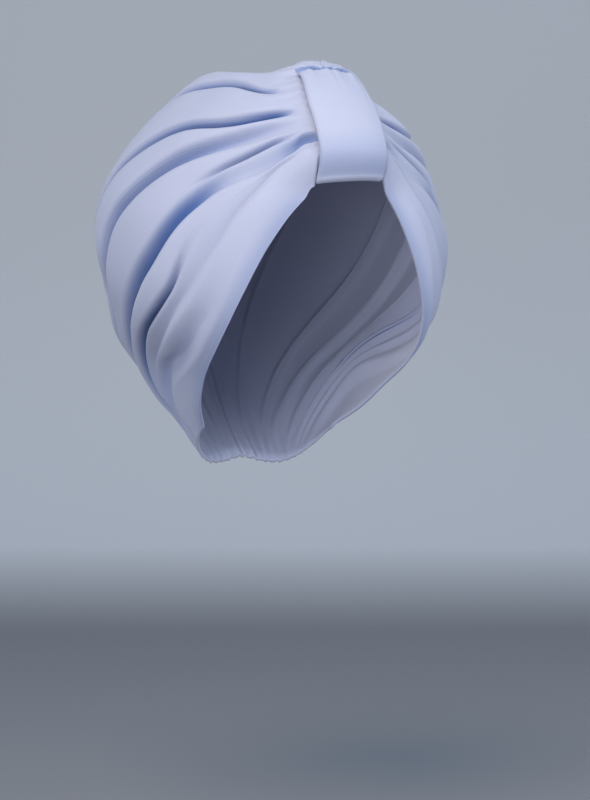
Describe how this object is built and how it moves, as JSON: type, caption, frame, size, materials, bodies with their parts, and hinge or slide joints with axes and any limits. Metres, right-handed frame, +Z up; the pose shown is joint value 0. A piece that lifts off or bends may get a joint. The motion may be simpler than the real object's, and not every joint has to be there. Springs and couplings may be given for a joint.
{
  "type": "turban headwrap",
  "caption": "Pull-on jersey turban, gathered at the brow under a wide vertical strap, with folds that fan over the sides to the nape.",
  "frame": {"origin": "where the crown of the head meets the inside of the cloth", "axes": "+Z up, -Y out of the brow, +X to the wearer's left"},
  "size_m": [0.1827, 0.217, 0.2134],
  "materials": {
    "jersey": "matt fine-knit stretch jersey, pale blue"
  },
  "bodies": {
    "root": {"crown_wrap": "jersey", "front_band": "jersey"}
  },
  "joints": []
}
